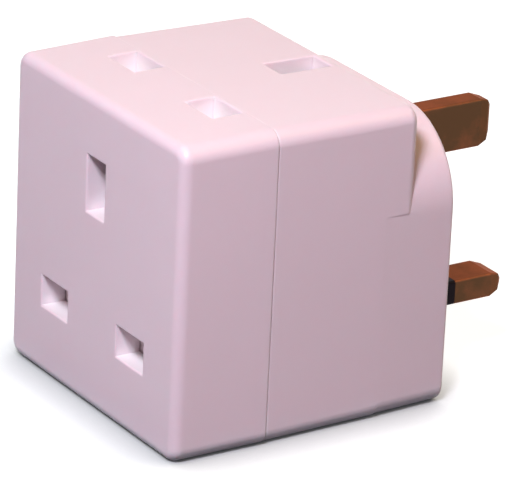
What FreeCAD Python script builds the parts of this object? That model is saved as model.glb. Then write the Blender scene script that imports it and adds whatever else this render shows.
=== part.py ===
import FreeCAD, Part
import math
import os

# A two-way socket adaptor of the three-pin, 13 amp pattern: one socket in the front face, one in the top
# face, and a plug on the back. All sizes are in millimetres. +Y points from the front face to the pins, +Z is
# up, the origin is under the middle of the whole part, on the surface that it stands on.

# Case, two moulded shells that meet at a parting line
case_width = 49.2
case_height = 50.7
front_shell_depth = 16.5
rear_box_depth = 25.5
plug_depth = 7.7
wall = 2.6
end_wall = 2.4
plug_wall = 2.5
crown_wall = 3.0
front_draft = 0.9
rear_draft = 0.85
plug_draft = 2.2
parting_step = 0.2
front_corner_radius = 2.5
rear_corner_radius = 2.5
front_rim_radius = 1.7
plug_rim_radius = 0.7
end_wall_rim_radius = 1.4
cavity_corner_radius = 0.8
parting_edge_radius = 0.3

# Plug body behind the box, with its arched top
plug_crown_height = 45.7
plug_shoulder_radius = 13.5
plug_flank_start = 5.1
plug_flank_top = 33.3
plug_flank_corner = 1.4
plug_flank_inset = 0.02
plug_low_radius = 2.8

# Three-pin pattern, the same for the plug and both sockets
pin_pitch = 22.2
front_pattern_height = 25.0
top_pattern_depth = 24.4
plug_pattern_height = 24.5

# Pins
earth_pin_width = 4.0
earth_pin_height = 8.0
earth_pin_length = 22.7
power_pin_width = 6.35
power_pin_height = 4.0
power_pin_length = 17.7
pin_edge_radius = 0.5
pin_tip_length = 2.8
pin_tip_inset = 1.6
pin_tip_round = 0.6
pin_flange = 1.4
pin_flange_margin = 1.0
pin_stub_radius = 1.2
pin_rivet_radius = 1.9
pin_rivet_height = 0.6
pin_clearance = 0.03
sleeve_length = 8.0
sleeve_thickness = 0.45

# Socket slots and the collars behind them
earth_slot_width = 5.2
earth_slot_height = 9.2
power_slot_width = 7.8
power_slot_height = 5.1
slot_depth = 4.3
slot_edge_radius = 0.3
collar_wall = 1.2

# Shutter behind each socket face, pushed aside by the earth pin
shutter_gap = 0.15
shutter_thickness = 1.6
shutter_travel = 6.0
shutter_half_width = 16.2
shutter_overlap = 0.85
shutter_window_margin = 0.2
shutter_top = 6.9
ramp_half_width = 1.8
ramp_arm = 2.2
ramp_foot = 0.5
rail_width = 1.0
rail_gap = 0.15

# Spring pocket in the shutter, spring and the lug that the spring pushes on
spring_wire_radius = 0.2
spring_coil_radius = 1.25
spring_turns = 9
spring_length = 13.0
lug_width = 2.8
lug_height = 1.6
lug_stop_gap = 0.1
pip_radius = 0.8
pip_height = 1.2
pocket_half_width = 1.9
pocket_sill = 2.1

# Retainer plate that holds the shutter in, on pegs of the shell
retainer_gap = 0.15
retainer_thickness = 1.2
retainer_half_width = 21.0
retainer_low = -17.0
retainer_high = 14.6
retainer_slot_half_width = 2.3
retainer_slot_low = -13.2
peg_x = 19.4
peg_radius = 1.0
peg_shoulder_radius = 1.8
peg_clearance = 0.05
front_peg_heights = (-15.2, 12.7)
top_peg_heights = (-4.4, 12.7)

# Contact clips: sprung brass strip folded to a U, riveted to the strips that join them to the pins
clip_thickness = 0.6
clip_grip_gap = 0.1
clip_width_power = 5.0
clip_width_earth = 6.0
clip_end_gap = 1.1
clip_lip = 0.7
clip_bend_radius = 0.3
power_clip_start = 7.8
earth_clip_start = 11.5
strip_thickness = 0.8
strip_width = 5.0
strip_gap = 0.3
strip_end_margin = 2.6
strip_bend_radius = 0.4
rivet_radius = 0.8
rivet_head_radius = 1.5
rivet_head_height = 0.5
rivet_clearance = 0.03

# Case screws, driven from the back through deep posts
boss_side_gap = 0.1
screw_radius = 1.45
screw_head_radius = 2.6
screw_head_height = 1.7
screw_head_round = 0.55
screw_seat_depth = 18.6
screw_bite = 10.0
screw_recess_width = 0.7
screw_recess_length = 3.2
screw_recess_depth = 0.9
post_radius = 3.9
post_hole_clearance = 0.15
tunnel_clearance = 0.35
boss_radius = 2.8
boss_reach = 3.3
boss_hole_margin = 1.0
boss_rib_thickness = 1.6

# Tongue and rebate where the shells meet, and the barriers between the live parts
tongue_length = 1.5
tongue_thickness = 1.0
tongue_clearance = 0.1
tongue_top_gap = 6.5
rebate_end_gap = 0.5
barrier_x = 5.8
barrier_thickness = 1.2
barrier_length = 20.0
barrier_gap = 0.3

# How far two shapes of one solid run into each other, and how far a cut runs past the surface
overlap = 0.2
past = 1.0

os.makedirs("parts", exist_ok=True)

# Places that follow from the sizes above
body_depth = front_shell_depth + rear_box_depth + plug_depth
y_front = -(body_depth + earth_pin_length) / 2
y_parting = y_front + front_shell_depth
y_end_wall = y_parting + rear_box_depth
y_back = y_front + body_depth
y_back_inner = y_back - plug_wall
half_width = case_width / 2
inner_half_width = half_width - wall
inner_top = case_height - wall
screw_x = inner_half_width - boss_radius - boss_side_gap
pin_height = {"earth": plug_pattern_height + pin_pitch / 2, "power": plug_pattern_height - pin_pitch / 2}
power_x = pin_pitch / 2
shutter_face = slot_depth + shutter_gap
shutter_back = shutter_face + shutter_thickness
retainer_face = shutter_back + retainer_gap
retainer_back = retainer_face + retainer_thickness
power_bridge = power_pin_length + clip_end_gap
earth_bridge = earth_pin_length + clip_end_gap
blocking_low = -pin_pitch / 2 - power_slot_height / 2 - shutter_overlap
blocking_high = blocking_low + power_slot_height + 2 * shutter_overlap - shutter_window_margin
lug_top = blocking_low + pocket_sill + lug_height + lug_stop_gap
strip_end_y = y_back_inner - pin_flange
slope_front = math.tan(math.radians(front_draft))
slope_rear = math.tan(math.radians(rear_draft))
slope_plug = math.tan(math.radians(plug_draft))


def vec(x, y, z):
    return FreeCAD.Vector(x, y, z)


def block(x0, x1, y0, y1, z0, z1):
    return Part.makeBox(x1 - x0, y1 - y0, z1 - z0, vec(x0, y0, z0))


def rod(radius, start, end):
    """Round bar between two points."""
    along = end - start
    return Part.makeCylinder(radius, along.Length, start, along)


def prism_x(points, x0, x1):
    """Prism along X over an outline of (y, z) points."""
    face = Part.Face(Part.makePolygon([vec(x0, y, z) for y, z in points + points[:1]]))
    return face.extrude(vec(x1 - x0, 0, 0))


def rounded_rectangle(y, half, low, high, radius):
    """Upright outline at depth y, with round corners."""
    corners = ((half, low, -90), (half, high, 0), (-half, high, 90), (-half, low, 180))
    edges = []
    ends = []
    for x, z, start in corners:
        cx = x - math.copysign(radius, x)
        cz = z + radius if z == low else z - radius
        angles = [math.radians(start + a) for a in (0, 45, 90)]
        arc = [vec(cx + radius * math.cos(a), y, cz + radius * math.sin(a)) for a in angles]
        edges.append(Part.Arc(*arc).toShape())
        ends.append((arc[0], arc[2]))
    sides = [Part.LineSegment(ends[i][1], ends[(i + 1) % 4][0]).toShape() for i in range(4)]
    return Part.Wire([e for pair in zip(edges, sides) for e in pair])


def tapered_block(y0, half0, top0, y1, half1, top1, low_radius, high_radius):
    """Block that stands on z = 0 and tapers from depth y0 to y1, with its four long edges rounded."""
    solid = Part.makeWedge(-half0, y0, 0, 0, -half1, half0, y1, top0, top1, half1)
    middle = min(top0, top1) / 2

    def long_edge(above):
        def test(edge):
            box = edge.BoundBox
            return box.YLength > (y1 - y0) / 2 and (box.ZMin > middle) == above
        return test
    return fillet(fillet(solid, low_radius, long_edge(False)), high_radius, long_edge(True))


def loft(first, second):
    return Part.makeLoft([first, second], True, True)


def fillet(shape, radius, wanted):
    """Rounds the edges for which wanted(edge) is true."""
    edges = [e for e in shape.Edges if wanted(e)]
    return shape.makeFillet(radius, edges)


def flat_at_y(y):
    """Test for an edge that lies wholly in the plane at depth y."""
    def test(edge):
        box = edge.BoundBox
        return abs(box.YMin - y) < 0.001 and abs(box.YMax - y) < 0.001
    return test


def place(shape, socket):
    """Moves a piece from socket coordinates (across, depth, height) to its socket in the case."""
    moved = shape.copy()
    if socket == "top":
        moved.rotate(vec(0, 0, 0), vec(1, 0, 0), -90)
        moved.translate(vec(0, y_front + top_pattern_depth, case_height))
    else:
        moved.translate(vec(0, y_front, front_pattern_height))
    return moved


def save(name, shape):
    shape = shape.removeSplitter()
    if not shape.isValid():
        print("not valid:", name)
    print(f"{name}: {len(shape.Solids)} solid, {shape.Volume:.1f} mm3")
    shape.exportStep(f"parts/{name}.step")


# Slots of one socket, in socket coordinates: (across, height, width, height of the slot)
slots = (
    (0.0, pin_pitch / 2, earth_slot_width, earth_slot_height),
    (power_x, -pin_pitch / 2, power_slot_width, power_slot_height),
    (-power_x, -pin_pitch / 2, power_slot_width, power_slot_height),
)


def slot_holes():
    """Pin slots, cut right through the face and collars, from outside the face."""
    end = slot_depth + past
    holes = [block(x - w / 2, x + w / 2, -past, end, h - t / 2, h + t / 2) for x, h, w, t in slots]
    return holes[0].multiFuse(holes[1:])


def round_slot_edges(shell, socket):
    """Rounds the outer edges of the slots of a socket that open in this shell."""
    def on_slot_rim(edge):
        box = edge.BoundBox
        if socket == "front":
            on_face = box.YMax < y_front + 0.001
            height = box.Center.z - front_pattern_height
        else:
            on_face = box.ZMin > case_height - wall / 2
            height = box.Center.y - y_front - top_pattern_depth
        near = 0.01
        return on_face and any(abs(box.Center.x - x) < w / 2 + near and abs(height - h) < t / 2 + near
                               for x, h, w, t in slots)
    return fillet(shell, slot_edge_radius, on_slot_rim)


def slot_collars():
    """Collars that deepen the slots behind the wall."""
    grow = collar_wall
    rings = [block(x - w / 2 - grow, x + w / 2 + grow, wall / 2, slot_depth,
                   h - t / 2 - grow, h + t / 2 + grow) for x, h, w, t in slots]
    return rings[0].multiFuse(rings[1:])


def socket_fittings(peg_heights):
    """Rails, spring lug and pegs behind a socket face, in socket coordinates."""
    rail_in = shutter_half_width + rail_gap
    pieces = []
    for side in (-1, 1):
        rail_x = sorted((side * rail_in, side * (rail_in + rail_width)))
        pieces.append(block(*rail_x, wall / 2, shutter_back, blocking_low - shutter_travel, shutter_top))
        for h in peg_heights:
            x = side * peg_x
            pieces.append(rod(peg_shoulder_radius, vec(x, wall / 2, h), vec(x, retainer_face, h)))
            pieces.append(rod(peg_radius, vec(x, wall / 2, h), vec(x, retainer_back, h)))
    half = lug_width / 2
    pieces.append(block(-half, half, wall / 2, shutter_back, lug_top - lug_height, lug_top))
    spring_depth = shutter_face + shutter_thickness / 2
    pieces.append(rod(pip_radius, vec(0, spring_depth, lug_top), vec(0, spring_depth, lug_top + pip_height)))
    return pieces[0].multiFuse(pieces[1:])


def cavity(y0, y1):
    """Hollow of the box between two depths."""
    section = rounded_rectangle(y0, inner_half_width, wall, inner_top, cavity_corner_radius)
    return Part.Face(section).extrude(vec(0, y1 - y0, 0))


# Front shell: front wall with three slots, and the forward part of the top with two of the top socket's slots
def make_front_shell():
    front_half = half_width - front_shell_depth * slope_front
    front_top = case_height - front_shell_depth * slope_front
    r = front_corner_radius
    outer = tapered_block(y_front, front_half, front_top, y_parting, half_width, case_height, r, r)
    outer = fillet(outer, front_rim_radius, flat_at_y(y_front))
    outer = fillet(outer, parting_edge_radius, flat_at_y(y_parting))
    shell = outer.cut(cavity(y_front + wall, y_parting + past))
    # Fittings of both sockets, as far as they sit in this shell
    keep = block(-half_width, half_width, y_front + wall / 2, y_parting, wall / 2, case_height - wall / 2)
    for socket, heights in (("front", front_peg_heights), ("top", top_peg_heights)):
        for piece in (slot_collars(), socket_fittings(heights)):
            shell = shell.fuse(place(piece, socket).common(keep))
    # Bosses that the case screws bite into, each with a rib to the side wall
    rib = boss_rib_thickness / 2
    h = front_pattern_height
    rib_end = y_parting - 2 * tongue_length
    for side in (-1, 1):
        x = side * screw_x
        x0, x1 = sorted((x, side * (inner_half_width + wall / 2)))
        shell = shell.fuse(block(x0, x1, y_front + wall / 2, rib_end, h - rib, h + rib))
        shell = shell.fuse(rod(boss_radius, vec(x, y_front + wall / 2, h), vec(x, y_parting + boss_reach, h)))
    # Rebate for the tongue, along the sides and the bottom
    reach = inner_half_width + tongue_thickness + tongue_clearance
    low = wall - tongue_thickness - tongue_clearance
    rebate_start = y_parting - tongue_length - tongue_clearance
    rebate_top = inner_top - tongue_top_gap + rebate_end_gap
    rebate = block(-reach, reach, rebate_start, y_parting + past, low, rebate_top)
    inside = block(-inner_half_width, inner_half_width, y_front, y_parting + past, wall, case_height)
    rebate = rebate.cut(inside)
    shell = shell.cut(rebate)
    shell = shell.cut(place(slot_holes(), "front")).cut(place(slot_holes(), "top"))
    shell = round_slot_edges(round_slot_edges(shell, "front"), "top")
    # Pilot holes for the case screws
    hole_start = y_parting + boss_reach - screw_bite - boss_hole_margin
    for side in (-1, 1):
        x = side * screw_x
        shell = shell.cut(rod(screw_radius, vec(x, hole_start, h), vec(x, y_parting + boss_reach + past, h)))
    return shell


def rear_half_at(y):
    return half_width - parting_step - (y - y_parting) * slope_rear


# Rear shell: the box behind the parting line, its end wall, and the arched plug body with the pin holes
def make_rear_shell():
    r = rear_corner_radius
    top_at = case_height - half_width
    half0, half1 = rear_half_at(y_parting), rear_half_at(y_end_wall)
    box = tapered_block(y_parting, half0, half0 + top_at, y_end_wall, half1, half1 + top_at, r, r)
    box = fillet(box, end_wall_rim_radius, flat_at_y(y_end_wall))
    box = fillet(box, parting_edge_radius, flat_at_y(y_parting))
    flank_y = y_end_wall - plug_flank_start
    reach = half_width + past
    below = block(-reach, reach, flank_y, y_end_wall + past, -past, plug_flank_top)
    corner_y = y_end_wall - plug_flank_corner
    corner_z = plug_flank_top + plug_flank_corner
    corner = block(-reach, reach, corner_y, y_end_wall + past, plug_flank_top - past, corner_z)
    round_end = rod(plug_flank_corner, vec(-reach, corner_y, corner_z), vec(reach, corner_y, corner_z))
    corner = corner.cut(round_end)
    box = box.cut(below).cut(corner)
    flank_half = rear_half_at(flank_y) - plug_flank_inset
    back_half = flank_half - (y_back - flank_y) * slope_plug
    crown = plug_crown_height
    front_crown = crown + flank_half - back_half
    plug = tapered_block(flank_y, flank_half, front_crown, y_back, back_half, crown, plug_low_radius,
                         plug_shoulder_radius)
    plug = fillet(plug, plug_rim_radius, flat_at_y(y_back))
    shell = box.fuse(plug)
    # Hollow of the box, then of the plug body
    inner_half = back_half - end_wall
    inner_crown = crown - crown_wall
    plug_start = y_parting + past
    plug_cavity = tapered_block(plug_start, inner_half, inner_crown, y_back_inner, inner_half, inner_crown,
                                cavity_corner_radius, plug_shoulder_radius - end_wall)
    plug_cavity = plug_cavity.cut(block(-half_width, half_width, y_front, y_back, -past, wall))
    shell = shell.cut(cavity(y_parting - past, y_end_wall - end_wall)).cut(plug_cavity)
    # Fittings of the top socket
    keep = block(-half_width, half_width, y_parting, y_end_wall - end_wall / 2, wall, case_height - wall / 2)
    shell = shell.fuse(place(slot_collars(), "top").common(keep))
    shell = shell.fuse(place(socket_fittings(top_peg_heights), "top").common(keep))
    # Tongue along the sides and the bottom
    reach = inner_half_width + tongue_thickness
    low = wall - tongue_thickness
    tongue_top = inner_top - tongue_top_gap
    tongue = block(-reach, reach, y_parting - tongue_length, y_parting + tongue_length, low, tongue_top)
    tongue = tongue.cut(block(-inner_half_width, inner_half_width, y_front, y_back, wall, case_height))
    shell = shell.fuse(tongue)
    # Screw posts, with a deep tunnel for the head and a hole for the shank
    seat_y = y_back - screw_seat_depth
    post_start = y_parting + boss_reach
    for side in (-1, 1):
        x = side * screw_x
        h = front_pattern_height
        post = rod(post_radius, vec(x, post_start, h), vec(x, y_back_inner + past, h))
        reach = inner_half_width + past
        shell = shell.fuse(post.common(block(-reach, reach, y_front, y_back, 0, case_height)))
        tunnel = rod(screw_head_radius + tunnel_clearance, vec(x, seat_y, h), vec(x, y_back + past, h))
        hole = rod(screw_radius + post_hole_clearance, vec(x, y_parting, h), vec(x, seat_y + past, h))
        shell = shell.cut(tunnel).cut(hole)
    # Barriers between the earth strip and the line and neutral parts
    barrier_top = case_height - retainer_back - barrier_gap
    for side in (-1, 1):
        middle = side * barrier_x
        x0, x1 = middle - barrier_thickness / 2, middle + barrier_thickness / 2
        barrier = block(x0, x1, y_back_inner - barrier_length, y_back_inner + past, wall / 2, barrier_top)
        shell = shell.fuse(barrier)
    # Slot and pin holes
    shell = shell.cut(place(slot_holes(), "top"))
    shell = round_slot_edges(shell, "top")
    for pole in ("earth", "line", "neutral"):
        shell = shell.cut(pin_bar(pole, y_back_inner - past, y_back + past, -pin_clearance))
    return shell


def pin_place(pole):
    """Middle of a plug pin (across, height), its width and height, and its length."""
    if pole == "earth":
        return 0, pin_height["earth"], earth_pin_width, earth_pin_height, earth_pin_length
    x = power_x if pole == "line" else -power_x
    return x, pin_height["power"], power_pin_width, power_pin_height, power_pin_length


def pin_section(pole, y, inset):
    """Outline of a pin at depth y, drawn in by an inset."""
    x, z, w, t, length = pin_place(pole)
    radius = max(pin_edge_radius - inset, pin_edge_radius / 2)
    section = rounded_rectangle(y, w / 2 - inset, inset - t / 2, t / 2 - inset, radius)
    section.translate(vec(x, 0, z))
    return section


def pin_bar(pole, y0, y1, inset):
    return Part.Face(pin_section(pole, y0, inset)).extrude(vec(0, y1 - y0, 0))


def make_shutter():
    """Sliding shutter: plate with two windows, spring pocket and the ramp that the earth pin pushes."""
    w = shutter_half_width
    plate = block(-w, w, shutter_face, shutter_back, blocking_low, shutter_top)
    window_half = power_slot_width / 2 + shutter_window_margin
    window_high = blocking_high + power_slot_height + 2 * shutter_window_margin
    for side in (-1, 1):
        x = side * power_x
        x0, x1 = x - window_half, x + window_half
        plate = plate.cut(block(x0, x1, 0, retainer_back, blocking_high, window_high))
    pocket_low = lug_top - lug_height - lug_stop_gap
    pocket_high = lug_top + spring_length
    p = pocket_half_width
    plate = plate.cut(block(-p, p, 0, retainer_back, pocket_low, pocket_high))
    ramp_reach = shutter_travel
    ramp = prism_x([(shutter_face, shutter_top), (shutter_face + ramp_reach, shutter_top + ramp_reach),
                    (shutter_face + ramp_reach, shutter_top + ramp_reach - ramp_arm),
                    (shutter_back, shutter_top - ramp_arm), (shutter_back, pocket_high + ramp_foot),
                    (shutter_face, pocket_high + ramp_foot)], -ramp_half_width, ramp_half_width)
    return plate.fuse(ramp)


def make_spring():
    """Coil spring of the shutter, standing on the lug."""
    pitch = (spring_length - 2 * spring_wire_radius) / spring_turns
    helix = Part.makeHelix(pitch, spring_length - 2 * spring_wire_radius, spring_coil_radius)
    start = vec(spring_coil_radius, 0, 0)
    section = Part.Wire(Part.makeCircle(spring_wire_radius, start, vec(0, 1, 0)))
    coil = Part.Wire(helix).makePipeShell([section], True, True)
    coil.translate(vec(0, shutter_face + shutter_thickness / 2, lug_top + spring_wire_radius))
    return coil


def make_retainer(socket):
    """Plate over the shutter, with openings for the pins, the spring and the ramp."""
    w = retainer_half_width
    plate = block(-w, w, retainer_face, retainer_back, retainer_low, retainer_high)
    s = retainer_slot_half_width
    plate = plate.cut(block(-s, s, 0, earth_pin_length, retainer_slot_low, retainer_high + past))
    half = power_slot_width / 2
    for side in (-1, 1):
        x = side * power_x
        low = -pin_pitch / 2 - power_slot_height / 2
        plate = plate.cut(block(x - half, x + half, 0, earth_pin_length, low, low + power_slot_height))
        for h in (front_peg_heights if socket == "front" else top_peg_heights):
            peg = side * peg_x
            hole = rod(peg_radius + peg_clearance, vec(peg, 0, h), vec(peg, retainer_back + past, h))
            plate = plate.cut(hole)
        if socket == "front":
            boss = side * screw_x
            r = boss_radius + rail_gap
            plate = plate.cut(rod(r, vec(boss, 0, 0), vec(boss, retainer_back + past, 0)))
            x0, x1 = sorted((boss, side * (w + past)))
            plate = plate.cut(block(x0, x1, 0, retainer_back + past, -r, r))
    return plate


def make_clip(pole):
    """U-shaped contact clip in socket coordinates, gripping a pin at across = 0 and height = 0."""
    if pole == "earth":
        grip, width, start, bridge = earth_pin_width / 2, clip_width_earth, earth_clip_start, earth_bridge
    else:
        grip, width, start, bridge = power_pin_height / 2, clip_width_power, power_clip_start, power_bridge
    inner = grip - clip_grip_gap
    outer = inner + clip_thickness
    lip = clip_lip
    leaf = [(bridge + clip_thickness, 0), (bridge + clip_thickness, outer), (start + lip, outer),
            (start, outer + lip / 2), (start, inner + lip / 2), (start + lip, inner),
            (bridge, inner), (bridge, 0)]
    half = prism_x(leaf, -width / 2, width / 2)
    clip = half.fuse(half.mirror(vec(0, 0, 0), vec(0, 0, 1))).removeSplitter()
    r = clip_bend_radius
    clip = bend(clip, ((bridge, inner, r), (bridge, -inner, r)))
    end = bridge + clip_thickness
    clip = bend(clip, ((end, outer, r + clip_thickness), (end, -outer, r + clip_thickness)))
    hole = rod(rivet_radius + rivet_clearance, vec(0, bridge - past, 0), vec(0, end + past, 0))
    clip = clip.cut(hole)
    if pole == "earth":
        clip.rotate(vec(0, 0, 0), vec(0, 1, 0), 90)
    return clip


def make_clip_rivet(pole):
    """Rivet through a clip's bridge and the strip behind it."""
    bridge = earth_bridge if pole == "earth" else power_bridge
    back = bridge + clip_thickness + strip_thickness
    shank = rod(rivet_radius, vec(0, bridge - rivet_head_height, 0), vec(0, back + rivet_head_height, 0))
    inner_head = rod(rivet_head_radius, vec(0, bridge - rivet_head_height, 0), vec(0, bridge, 0))
    outer_head = rod(rivet_head_radius, vec(0, back, 0), vec(0, back + rivet_head_height, 0))
    return shank.multiFuse([inner_head, outer_head])


def pole_place(shape, pole, socket):
    """Moves a piece from the pole's own axis to its pin place in a socket."""
    x = {"earth": 0, "line": power_x, "neutral": -power_x}[pole]
    h = pin_pitch / 2 if pole == "earth" else -pin_pitch / 2
    moved = shape.copy()
    moved.translate(vec(x, 0, h))
    return place(moved, socket)


def bend(shape, corners):
    """Rounds the bends of a folded strip; a corner is (y, z, radius)."""
    for y, z, radius in corners:
        edges = []
        for edge in shape.Edges:
            box = edge.BoundBox
            if abs(box.YMin - y) + abs(box.YMax - y) + abs(box.ZMin - z) + abs(box.ZMax - z) < 0.01:
                edges.append(edge)
        shape = shape.makeFillet(radius, edges)
    return shape


def make_busbar(pole):
    """Bent brass strip that joins the pin to both of its pole's clips."""
    x, stub_z, w, t, length = pin_place(pole)
    back = strip_end_y
    thick = strip_thickness
    inner = strip_bend_radius
    outer = inner + thick
    if pole == "earth":
        riser_y = y_front + earth_bridge + clip_thickness
        run = case_height - earth_bridge - clip_thickness
        riser_top = stub_z + strip_end_margin
        bends = ((riser_y, run - thick, outer), (riser_y + thick, run, inner))
    else:
        riser_y = y_front + power_bridge + clip_thickness
        lowest = min(stub_z, front_pattern_height - pin_pitch / 2)
        run = lowest - t / 2 + clip_grip_gap - clip_thickness - strip_gap
        riser_top = case_height - power_bridge - clip_thickness
        bends = ((riser_y, run - thick, outer), (riser_y + thick, run, inner),
                 (riser_y + thick, riser_top, outer), (riser_y, riser_top - thick, inner))
    lug_top_z = stub_z + strip_end_margin
    runs = [(riser_y, back, run - thick, run), (riser_y, riser_y + thick, run - thick, riser_top),
            (back - thick, back, run - thick, lug_top_z)]
    if pole != "earth":
        shelf_end = y_front + top_pattern_depth - pin_pitch / 2 - strip_end_margin
        runs.append((shelf_end, riser_y + thick, riser_top - thick, riser_top))
    pieces = [block(x - strip_width / 2, x + strip_width / 2, *sizes) for sizes in runs]
    strip = pieces[0].multiFuse(pieces[1:]).removeSplitter()
    strip = bend(strip, bends + ((back, run - thick, outer), (back - thick, run, inner)))
    bridge = earth_bridge if pole == "earth" else power_bridge
    for socket in ("front", "top"):
        hole_end = bridge + clip_thickness + strip_thickness + past
        hole = rod(rivet_radius + rivet_clearance, vec(0, bridge, 0), vec(0, hole_end, 0))
        strip = strip.cut(pole_place(hole, pole, socket))
    stub_hole = rod(pin_stub_radius + rivet_clearance, vec(x, back - thick - past, stub_z),
                    vec(x, back + past, stub_z))
    return strip.cut(stub_hole)


def make_pin(pole):
    """Solid brass pin with a rounded-off tip, a flange inside the back wall and a riveted stub."""
    x, z, w, t, length = pin_place(pole)
    tip = y_back + length
    shoulder = tip - pin_tip_length
    middle = tip - pin_tip_inset + pin_tip_round
    bar = pin_bar(pole, y_back_inner, shoulder, 0)
    bar = bar.fuse(loft(pin_section(pole, shoulder, 0), pin_section(pole, middle, pin_tip_round)))
    bar = bar.fuse(loft(pin_section(pole, middle, pin_tip_round), pin_section(pole, tip, pin_tip_inset)))
    if pole != "earth":
        bar = bar.cut(make_sleeve(pole))
    m = pin_flange_margin
    flange = block(x - w / 2 - m, x + w / 2 + m, strip_end_y, y_back_inner, z - t / 2 - m, z + t / 2 + m)
    head_y = strip_end_y - strip_thickness
    stub = rod(pin_stub_radius, vec(x, head_y - pin_rivet_height, z), vec(x, strip_end_y + overlap, z))
    head = rod(pin_rivet_radius, vec(x, head_y - pin_rivet_height, z), vec(x, head_y, z))
    return bar.multiFuse([flange, stub, head])


def make_sleeve(pole):
    """Black sleeve moulded round the root of a line or neutral pin."""
    end = y_back + sleeve_length
    core = pin_bar(pole, y_back_inner - past, end + past, sleeve_thickness)
    return pin_bar(pole, y_back_inner, end, 0).cut(core)


def make_screw(side):
    """Case screw: pan head with a cross recess, and a plain shank to the thread's outer size."""
    x = side * screw_x
    h = front_pattern_height
    seat = y_back - screw_seat_depth
    end = y_parting + boss_reach - screw_bite
    shank = rod(screw_radius, vec(x, end, h), vec(x, seat + overlap, h))
    head = rod(screw_head_radius, vec(x, seat, h), vec(x, seat + screw_head_height, h))
    head = fillet(head, screw_head_round, flat_at_y(seat + screw_head_height))
    screw = shank.fuse(head)
    a, b = screw_recess_width / 2, screw_recess_length / 2
    y0 = seat + screw_head_height - screw_recess_depth
    y1 = seat + screw_head_height + past
    screw = screw.cut(block(x - a, x + a, y0, y1, h - b, h + b))
    return screw.cut(block(x - b, x + b, y0, y1, h - a, h + a))


save("front_shell", make_front_shell())
save("rear_shell", make_rear_shell())
for socket in ("front", "top"):
    save(f"{socket}_shutter", place(make_shutter(), socket))
    save(f"{socket}_shutter_spring", place(make_spring(), socket))
    save(f"{socket}_retainer", place(make_retainer(socket), socket))
for pole in ("earth", "line", "neutral"):
    save(f"{pole}_pin", make_pin(pole))
    save(f"{pole}_busbar", make_busbar(pole))
    for socket in ("front", "top"):
        save(f"{pole}_{socket}_clip", pole_place(make_clip(pole), pole, socket))
    rivets = [pole_place(make_clip_rivet(pole), pole, socket) for socket in ("front", "top")]
    save(f"{pole}_rivets", Part.makeCompound(rivets))
for pole in ("line", "neutral"):
    save(f"{pole}_sleeve", make_sleeve(pole))
save("case_screws", Part.makeCompound([make_screw(-1), make_screw(1)]))
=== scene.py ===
import bpy
from mathutils import Matrix, Vector


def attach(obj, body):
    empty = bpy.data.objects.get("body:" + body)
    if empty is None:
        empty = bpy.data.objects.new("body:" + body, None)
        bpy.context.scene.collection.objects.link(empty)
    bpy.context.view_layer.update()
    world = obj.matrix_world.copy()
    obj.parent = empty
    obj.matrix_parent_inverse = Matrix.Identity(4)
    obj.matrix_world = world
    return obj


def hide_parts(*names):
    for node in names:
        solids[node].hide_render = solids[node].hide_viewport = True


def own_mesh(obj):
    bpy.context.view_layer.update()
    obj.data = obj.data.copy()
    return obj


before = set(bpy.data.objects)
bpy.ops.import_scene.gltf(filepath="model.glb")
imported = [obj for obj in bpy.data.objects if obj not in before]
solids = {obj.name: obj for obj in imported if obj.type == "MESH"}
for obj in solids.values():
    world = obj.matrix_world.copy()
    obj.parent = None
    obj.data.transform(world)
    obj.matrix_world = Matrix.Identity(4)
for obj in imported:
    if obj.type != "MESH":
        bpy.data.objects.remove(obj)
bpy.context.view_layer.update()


# ---------------------------------------------------------------- case
# The case is two injection-moulded shells of pinkish white thermoplastic, a shallow front one
# and a deep rear one that carries the plug body. They meet at a parting line, with the front
# shell standing a little proud, and two screws from the back hold them together.

def worked_value(tree, operation, *values):
    """Adds a Math node fed with links or plain numbers, and gives its result."""
    step = tree.nodes.new("ShaderNodeMath")
    step.operation = operation
    for place, value in enumerate(values):
        if isinstance(value, bpy.types.NodeSocket):
            tree.links.new(value, step.inputs[place])
        else:
            step.inputs[place].default_value = value
    return step.outputs[0]


def spread_value(tree, value, lowest, highest):
    """Adds a Map Range node that spreads lowest to highest over 0 to 1, and gives the node."""
    spread = tree.nodes.new("ShaderNodeMapRange")
    spread.inputs["From Min"].default_value = lowest
    spread.inputs["From Max"].default_value = highest
    tree.links.new(value, spread.inputs["Value"])
    return spread


def cloudy_pattern(tree, place, detail, scale=1.0):
    """Adds a Noise node at a place on the piece, and gives the node."""
    pattern = tree.nodes.new("ShaderNodeTexNoise")
    pattern.inputs["Detail"].default_value = detail
    tree.links.new(place, pattern.inputs["Vector"])
    if isinstance(scale, bpy.types.NodeSocket):
        tree.links.new(scale, pattern.inputs["Scale"])
    else:
        pattern.inputs["Scale"].default_value = scale
    return pattern


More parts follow.
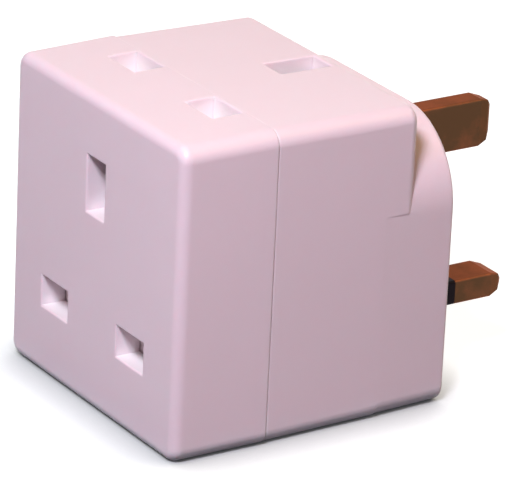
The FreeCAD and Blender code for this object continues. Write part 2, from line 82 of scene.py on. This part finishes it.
def moulded_skin():
    """Group for any moulded plastic: slow tone changes in the melt, fine mould texture and small scuffs."""
    group = bpy.data.node_groups.new("moulded skin", "ShaderNodeTree")
    for name, value in (("Tone size", 60.0), ("Tone amount", 0.03), ("Texture size", 2600.0),
                        ("Scuff amount", 0.5), ("Roughness", 0.35)):
        socket = group.interface.new_socket(name, in_out="INPUT", socket_type="NodeSocketFloat")
        socket.default_value = value
    for name in ("Tone", "Roughness", "Height"):
        group.interface.new_socket(name, in_out="OUTPUT", socket_type="NodeSocketFloat")
    nodes, links = group.nodes, group.links
    given, put_out = nodes.new("NodeGroupInput"), nodes.new("NodeGroupOutput")
    place = nodes.new("ShaderNodeTexCoord").outputs["Object"]

    middle_grey = 0.5
    slow = cloudy_pattern(group, place, 3.0, given.outputs["Tone size"])
    swing = worked_value(group, "SUBTRACT", slow.outputs["Fac"], middle_grey)
    toned = worked_value(group, "MULTIPLY", swing, given.outputs["Tone amount"])
    links.new(worked_value(group, "ADD", toned, 1.0), put_out.inputs["Tone"])

    # Scuffs: short broken hairlines, from stretched noise
    hair_stretch = (900.0, 140.0, 420.0)
    hair_turn = (0.4, 0.9, 0.3)
    scuff_roughness = 0.12
    scuff_depth = 0.6
    stretch = nodes.new("ShaderNodeMapping")
    stretch.inputs["Scale"].default_value = hair_stretch
    stretch.inputs["Rotation"].default_value = hair_turn
    links.new(place, stretch.inputs["Vector"])
    hair = cloudy_pattern(group, stretch.outputs["Vector"], 4.0)
    thin = spread_value(group, hair.outputs["Fac"], 0.62, 0.72)
    worn = worked_value(group, "MULTIPLY", thin.outputs["Result"], given.outputs["Scuff amount"])
    rougher = worked_value(group, "MULTIPLY_ADD", worn, scuff_roughness, given.outputs["Roughness"])
    links.new(rougher, put_out.inputs["Roughness"])

    grain = cloudy_pattern(group, place, 2.0, given.outputs["Texture size"])
    dent = worked_value(group, "MULTIPLY_ADD", worn, -scuff_depth, grain.outputs["Fac"])
    links.new(dent, put_out.inputs["Height"])
    return group


def seam_shade():
    """Group for a recess mask from ambient occlusion, used for painted shade in seams and painted light in
    slots: 1 in the open, lower in a recess.
    """
    group = bpy.data.node_groups.new("seam shade", "ShaderNodeTree")
    for name, value in (("Reach", 0.0007), ("Strength", 0.3)):
        socket = group.interface.new_socket(name, in_out="INPUT", socket_type="NodeSocketFloat")
        socket.default_value = value
    group.interface.new_socket("Open", in_out="OUTPUT", socket_type="NodeSocketFloat")
    nodes, links = group.nodes, group.links
    given, put_out = nodes.new("NodeGroupInput"), nodes.new("NodeGroupOutput")
    near = nodes.new("ShaderNodeAmbientOcclusion")
    near.samples = 8
    links.new(given.outputs["Reach"], near.inputs["Distance"])
    closed = spread_value(group, near.outputs["AO"], 0.25, 0.75)
    links.new(worked_value(group, "SUBTRACT", 1.0, given.outputs["Strength"]), closed.inputs["To Min"])
    links.new(closed.outputs["Result"], put_out.inputs["Open"])
    return group


skin_group = moulded_skin()
seam_group = seam_shade()


def moulded_plastic(name, colour, painted_slot_light_colour, seam_shade_colour, roughness, gloss, tone, texture, bump, seam):
    """Material of one moulded plastic, from the skin and the seam groups."""
    material = bpy.data.materials.new(name)
    material.use_nodes = True
    nodes, links = material.node_tree.nodes, material.node_tree.links
    surface = nodes["Principled BSDF"]
    surface.inputs["Specular IOR Level"].default_value = gloss
    skin = nodes.new("ShaderNodeGroup")
    skin.node_tree = skin_group
    skin.inputs["Tone amount"].default_value = tone
    skin.inputs["Texture size"].default_value = texture
    skin.inputs["Roughness"].default_value = roughness
    toned = nodes.new("ShaderNodeVectorMath")
    toned.operation = "SCALE"
    toned.inputs[0].default_value = colour
    links.new(skin.outputs["Tone"], toned.inputs["Scale"])

    # Painted light: where ambient occlusion finds a slot, the colour turns paler, standing for the light
    # inside the slots
    slot_reach = 0.010
    slot_recess = nodes.new("ShaderNodeGroup")
    slot_recess.node_tree = seam_group
    slot_recess.inputs["Reach"].default_value = slot_reach
    slot_recess.inputs["Strength"].default_value = 1.0
    with_painted_slot_light = nodes.new("ShaderNodeMix")
    with_painted_slot_light.data_type = "RGBA"
    with_painted_slot_light.inputs["A"].default_value = (*painted_slot_light_colour, 1.0)
    links.new(slot_recess.outputs["Open"], with_painted_slot_light.inputs["Factor"])
    links.new(toned.outputs["Vector"], with_painted_slot_light.inputs["B"])

    # Painted shade in the narrow seams and corners
    shaded = nodes.new("ShaderNodeGroup")
    shaded.node_tree = seam_group
    shaded.inputs["Strength"].default_value = seam
    with_painted_seam_shade = nodes.new("ShaderNodeMix")
    with_painted_seam_shade.data_type = "RGBA"
    with_painted_seam_shade.inputs["A"].default_value = (*seam_shade_colour, 1.0)
    links.new(shaded.outputs["Open"], with_painted_seam_shade.inputs["Factor"])
    links.new(with_painted_slot_light.outputs["Result"], with_painted_seam_shade.inputs["B"])
    links.new(with_painted_seam_shade.outputs["Result"], surface.inputs["Base Color"])

    links.new(skin.outputs["Roughness"], surface.inputs["Roughness"])
    relief = nodes.new("ShaderNodeBump")
    relief.inputs["Strength"].default_value = 0.35
    relief.inputs["Distance"].default_value = bump
    links.new(skin.outputs["Height"], relief.inputs["Height"])
    links.new(relief.outputs["Normal"], surface.inputs["Normal"])
    return material


def finish_node(node, material):
    """Gives a solid of the part its material."""
    mesh = solids[node].data
    mesh.materials.clear()
    mesh.materials.append(material)


# The paler colour inside the slots is painted light, and the dark seam colour is painted shade
case_plastic = moulded_plastic("pinkish white case plastic", colour=(0.87, 0.67, 0.71),
                               painted_slot_light_colour=(0.97, 0.87, 0.885), seam_shade_colour=(0.42, 0.29, 0.31),
                               roughness=0.34, gloss=0.40, tone=0.035, texture=2400.0,
                               bump=0.00002, seam=0.35)
glow_through = case_plastic.node_tree.nodes["Principled BSDF"]
glow_through.inputs["Subsurface Weight"].default_value = 0.35
glow_through.inputs["Subsurface Radius"].default_value = (1.0, 0.7, 0.75)
glow_through.inputs["Subsurface Scale"].default_value = 0.0012
finish_node("front_shell", case_plastic)
finish_node("rear_shell", case_plastic)


# ---------------------------------------------------------------- shutters and retainers
# Behind each socket face a flat shutter slides on rails and closes the line and neutral slots.
# A retainer plate on pegs holds it in. Both are plain off-white mouldings with no gloss finish.

shutter_plastic = moulded_plastic("off white inner plastic", colour=(0.84, 0.70, 0.71),
                                  painted_slot_light_colour=(0.84, 0.70, 0.71), seam_shade_colour=(0.40, 0.30, 0.31),
                                  roughness=0.5, gloss=0.3, tone=0.03, texture=1800.0,
                                  bump=0.00003, seam=0.4)
for socket in ("front", "top"):
    finish_node(f"{socket}_shutter", shutter_plastic)
    finish_node(f"{socket}_retainer", shutter_plastic)


# ---------------------------------------------------------------- plug pins
# The three pins are cut from solid drawn brass bar, with the tips rounded off, and are riveted
# inside to their strips. The brass is dull brown, with drawing lines along each pin.

def drawn_metal():
    """Group for drawn or rolled metal: lines along one direction, darker oxide in patches, and painted
    shade on the flanks.
    """
    group = bpy.data.node_groups.new("drawn metal", "ShaderNodeTree")
    lines = group.interface.new_socket("Line scale", in_out="INPUT", socket_type="NodeSocketVector")
    lines.default_value = (3000.0, 60.0, 3000.0)
    for name, value in (("Patch size", 180.0), ("Roughness", 0.35), ("Line depth", 0.5),
                        ("Flank shade", 0.0)):
        socket = group.interface.new_socket(name, in_out="INPUT", socket_type="NodeSocketFloat")
        socket.default_value = value
    for name in ("Oxide and flank shade", "Roughness", "Height"):
        group.interface.new_socket(name, in_out="OUTPUT", socket_type="NodeSocketFloat")
    nodes, links = group.nodes, group.links
    given, put_out = nodes.new("NodeGroupInput"), nodes.new("NodeGroupOutput")
    place = nodes.new("ShaderNodeTexCoord").outputs["Object"]
    stretch = nodes.new("ShaderNodeVectorMath")
    stretch.operation = "MULTIPLY"
    links.new(place, stretch.inputs[0])
    links.new(given.outputs["Line scale"], stretch.inputs[1])
    line = cloudy_pattern(group, stretch.outputs["Vector"], 5.0)
    depth = worked_value(group, "MULTIPLY", line.outputs["Fac"], given.outputs["Line depth"])
    links.new(depth, put_out.inputs["Height"])

    # Oxide in patches, and painted shade that darkens the flanks more than the flat faces above and below
    oxide_roughness = 0.14
    patch = cloudy_pattern(group, place, 6.0, given.outputs["Patch size"])
    patch.inputs["Roughness"].default_value = 0.6
    split = nodes.new("ShaderNodeSeparateXYZ")
    links.new(nodes.new("ShaderNodeNewGeometry").outputs["Normal"], split.inputs[0])
    upright = worked_value(group, "ABSOLUTE", split.outputs["Z"])
    flank_shade = spread_value(group, upright, 0.9, 0.3)
    oxide_patches_and_flank_shade = worked_value(group, "MULTIPLY_ADD", flank_shade.outputs["Result"], given.outputs["Flank shade"],
                        patch.outputs["Fac"])
    oxide_and_flank_shade = spread_value(group, oxide_patches_and_flank_shade, 0.35, 0.9).outputs["Result"]
    links.new(oxide_and_flank_shade, put_out.inputs["Oxide and flank shade"])
    rough = worked_value(group, "MULTIPLY_ADD", oxide_and_flank_shade, oxide_roughness, given.outputs["Roughness"])
    links.new(rough, put_out.inputs["Roughness"])
    return group


metal_group = drawn_metal()


def metal(name, clean, patch_and_flank_colour, roughness, lines, flank_shade=0.0):
    """Material of one metal, from the drawn-metal group."""
    material = bpy.data.materials.new(name)
    material.use_nodes = True
    nodes, links = material.node_tree.nodes, material.node_tree.links
    surface = nodes["Principled BSDF"]
    surface.inputs["Metallic"].default_value = 1.0
    drawn = nodes.new("ShaderNodeGroup")
    drawn.node_tree = metal_group
    drawn.inputs["Line scale"].default_value = lines
    drawn.inputs["Flank shade"].default_value = flank_shade
    drawn.inputs["Roughness"].default_value = roughness
    tint = nodes.new("ShaderNodeMix")
    tint.data_type = "RGBA"
    tint.inputs["A"].default_value = (*clean, 1.0)
    tint.inputs["B"].default_value = (*patch_and_flank_colour, 1.0)
    links.new(drawn.outputs["Oxide and flank shade"], tint.inputs["Factor"])
    links.new(tint.outputs["Result"], surface.inputs["Base Color"])
    links.new(drawn.outputs["Roughness"], surface.inputs["Roughness"])
    relief = nodes.new("ShaderNodeBump")
    relief.inputs["Strength"].default_value = 0.4
    relief.inputs["Distance"].default_value = 0.00001
    links.new(drawn.outputs["Height"], relief.inputs["Height"])
    links.new(relief.outputs["Normal"], surface.inputs["Normal"])
    return material


# Painted shade: the pins' flanks are darkened towards the oxide colour, so their tops read lighter than
# their sides
pin_brass = metal("dull brown pin brass", clean=(0.245, 0.070, 0.033), patch_and_flank_colour=(0.088, 0.045, 0.023),
                  roughness=0.40, lines=(2600.0, 70.0, 2600.0), flank_shade=0.4)
pin_gloss = pin_brass.node_tree.nodes["Principled BSDF"]
pin_gloss.inputs["Specular Tint"].default_value = (1.0, 0.62, 0.52, 1.0)
for pole in ("earth", "line", "neutral"):
    finish_node(f"{pole}_pin", pin_brass)


# ---------------------------------------------------------------- pin sleeves
# Each power pin has a black sleeve moulded round its root, flush with the pin's own faces, so
# that no bare metal can be touched while the plug is half way in.

sleeve_plastic = moulded_plastic("black sleeve plastic", colour=(0.010, 0.005, 0.009),
                                 painted_slot_light_colour=(0.010, 0.005, 0.009), seam_shade_colour=(0.006, 0.003, 0.005),
                                 roughness=0.50, gloss=0.08, tone=0.2, texture=2800.0,
                                 bump=0.00002, seam=0.3)
for pole in ("line", "neutral"):
    finish_node(f"{pole}_sleeve", sleeve_plastic)


# ---------------------------------------------------------------- contacts and strips
# Inside, each pole has two U-shaped spring clips folded from thin brass strip. Rivets join them
# to a bent strip that leads to the pin. The strip is bright, with rolling lines along it.

contact_brass = metal("rolled contact brass", clean=(0.72, 0.46, 0.19), patch_and_flank_colour=(0.52, 0.30, 0.12),
                      roughness=0.3, lines=(1800.0, 120.0, 120.0))
rivet_brass = metal("rivet brass", clean=(0.66, 0.42, 0.18), patch_and_flank_colour=(0.48, 0.28, 0.11),
                    roughness=0.38, lines=(900.0, 900.0, 900.0))
for pole in ("earth", "line", "neutral"):
    for piece in ("busbar", "front_clip", "top_clip"):
        finish_node(f"{pole}_{piece}", contact_brass)
    finish_node(f"{pole}_rivets", rivet_brass)


# ---------------------------------------------------------------- springs and case screws
# A coil spring of hard steel wire closes each shutter, and is pressed to about half its length
# when the shutter opens. Two plated steel screws with a cross recess sit deep in tunnels at the
# back and pull the two shells together.

spring_steel = metal("spring wire", clean=(0.50, 0.50, 0.49), patch_and_flank_colour=(0.38, 0.37, 0.36),
                     roughness=0.25, lines=(2000.0, 2000.0, 200.0))
screw_steel = metal("plated screw steel", clean=(0.56, 0.55, 0.53), patch_and_flank_colour=(0.42, 0.41, 0.38),
                    roughness=0.32, lines=(1500.0, 300.0, 1500.0))
finish_node("case_screws", screw_steel)


def pressed_spring(socket):
    """Coil in place of the rigid spring of the frame: a copy of its mesh, hung on the case."""
    node = f"{socket}_shutter_spring"
    finish_node(node, spring_steel)
    coil = bpy.data.objects.new(f"{socket}_shutter_coil", solids[node].data.copy())
    bpy.context.scene.collection.objects.link(coil)
    coil.matrix_world = solids[node].matrix_world
    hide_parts(node)
    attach(coil, "case")
    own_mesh(coil)


pressed_spring("front")
pressed_spring("top")


# ---------------------------------------------------------------- floor
# A plain pale sheet under the adaptor, on which it stands. The camera sees it as white with the adaptor's
# soft shadow, and with a painted shadow along the foot, darkest there, from ambient occlusion; it throws
# only a little light back up.

def seen_or_mirrored(tree):
    """Light Path mask: 1 for what is seen directly, in gloss or through glass, 0 for the light itself."""
    path = tree.nodes.new("ShaderNodeLightPath")
    in_gloss = worked_value(tree, "MAXIMUM", path.outputs["Is Camera Ray"], path.outputs["Is Glossy Ray"])
    return worked_value(tree, "MAXIMUM", in_gloss, path.outputs["Is Transmission Ray"])


def pale_floor():
    """The sheet, with a dim face for the light and a white one for the camera, with a painted shadow at the
    foot.
    """
    half = 4.0
    drop = 0.00002
    painted_shadow_reach = 0.011
    painted_shadow_falloff = 2.2
    corners = [(-half, -half, 0), (half, -half, 0), (half, half, 0), (-half, half, 0)]
    mesh = bpy.data.meshes.new("floor sheet")
    mesh.from_pydata(corners, [], [(0, 1, 2, 3)])
    sheet = bpy.data.objects.new("floor", mesh)
    bpy.context.scene.collection.objects.link(sheet)
    sheet.location.z = -drop
    material = bpy.data.materials.new("pale floor sheet")
    material.use_nodes = True
    tree = material.node_tree
    nodes, links = tree.nodes, tree.links
    nodes.clear()
    dim = nodes.new("ShaderNodeBsdfDiffuse")
    dim.inputs["Color"].default_value = (0.085, 0.08, 0.09, 1.0)
    white = nodes.new("ShaderNodeBsdfDiffuse")
    white.inputs["Color"].default_value = (0.41, 0.42, 0.42, 1.0)
    # Painted shadow: ambient occlusion lowers the white glow along the adaptor's foot
    near = nodes.new("ShaderNodeAmbientOcclusion")
    near.inputs["Distance"].default_value = painted_shadow_reach
    painted_foot_shadow = spread_value(tree, near.outputs["AO"], 0.12, 1.0)
    painted_foot_shadow.inputs["To Min"].default_value = 0.2
    painted_foot_shadow.inputs["To Max"].default_value = 0.96
    glow = nodes.new("ShaderNodeEmission")
    links.new(worked_value(tree, "POWER", painted_foot_shadow.outputs["Result"], painted_shadow_falloff), glow.inputs["Strength"])
    lit = nodes.new("ShaderNodeAddShader")
    links.new(white.outputs[0], lit.inputs[0])
    links.new(glow.outputs[0], lit.inputs[1])
    seen = nodes.new("ShaderNodeMixShader")
    links.new(seen_or_mirrored(tree), seen.inputs[0])
    links.new(dim.outputs[0], seen.inputs[1])
    links.new(lit.outputs[0], seen.inputs[2])
    links.new(seen.outputs[0], nodes.new("ShaderNodeOutputMaterial").inputs["Surface"])
    mesh.materials.append(material)


pale_floor()


# ---------------------------------------------------------------- light
# Soft studio light: a key lamp above the front right edge, a weaker warm one high behind, weak
# ones high in front, low in front and at the right, and a low one behind the far corner.

def soft_lamp(name, place, size, power, colour):
    """A round lamp aimed at the middle of the case."""
    middle = Vector((0.0, -0.01, 0.025))
    lamp = bpy.data.lights.new(name, "AREA")
    lamp.shape = "DISK"
    lamp.size = size
    lamp.energy = power
    lamp.color = colour
    holder = bpy.data.objects.new(name, lamp)
    bpy.context.scene.collection.objects.link(holder)
    holder.location = place
    holder.rotation_euler = (middle - Vector(place)).to_track_quat("-Z", "Y").to_euler()
    return holder


soft_lamp("key lamp", (0.224, -0.259, 0.397), size=0.12, power=2.82, colour=(0.868, 0.855, 1.0))
soft_lamp("back lamp", (0.269, 0.374, 0.545), size=0.40, power=0.95, colour=(1.0, 0.62, 0.10))
soft_lamp("high front lamp", (-0.035, -0.410, 0.598), size=0.30, power=0.50, colour=(0.82, 1.0, 0.40))
soft_lamp("low front lamp", (-0.305, -0.847, 0.15), size=0.60, power=0.95, colour=(0.63, 0.53, 1.0))
soft_lamp("side lamp", (0.693, 0.475, 0.333), size=0.60, power=0.62, colour=(0.55, 0.62, 1.0))
rear_fill = soft_lamp("rear fill lamp", (-0.633, 0.623, 0.120), size=0.30, power=4.8,
                      colour=(0.90, 0.92, 0.88))
rear_fill.visible_glossy = False

room = bpy.data.worlds.new("pale room")
bpy.context.scene.world = room
room.use_nodes = True
sky = room.node_tree.nodes["Background"]
sky.inputs["Color"].default_value = (1.0, 1.0, 1.0, 1.0)
room.node_tree.links.new(seen_or_mirrored(room.node_tree), sky.inputs["Strength"])


# ---------------------------------------------------------------- camera
# The camera stands at the front right and above, about 0.7 m away, turned so that the front
# face, the top and the right side show, with the pins behind to the right.

focal_pixels = 4417.0
photo_width = 520.0
lens = bpy.data.cameras.new("camera")
lens.sensor_fit = "HORIZONTAL"
lens.sensor_width = 36.0
lens.lens = focal_pixels * lens.sensor_width / photo_width
lens.clip_start = 0.01
lens.clip_end = 20.0
camera = bpy.data.objects.new("camera", lens)
bpy.context.scene.collection.objects.link(camera)
stand = (0.5266357, -0.3587525, 0.2790964)
right = Vector((0.5411431, 0.8397968, 0.0436516))
down = Vector((0.3380697, -0.1697270, -0.9256898))
forward = Vector((-0.7699825, 0.5156879, -0.3757565))
turn = Matrix((right, -down, -forward)).transposed().to_4x4()
camera.matrix_world = Matrix.Translation(stand) @ turn
bpy.context.scene.camera = camera
bpy.context.scene.view_settings.view_transform = "Standard"
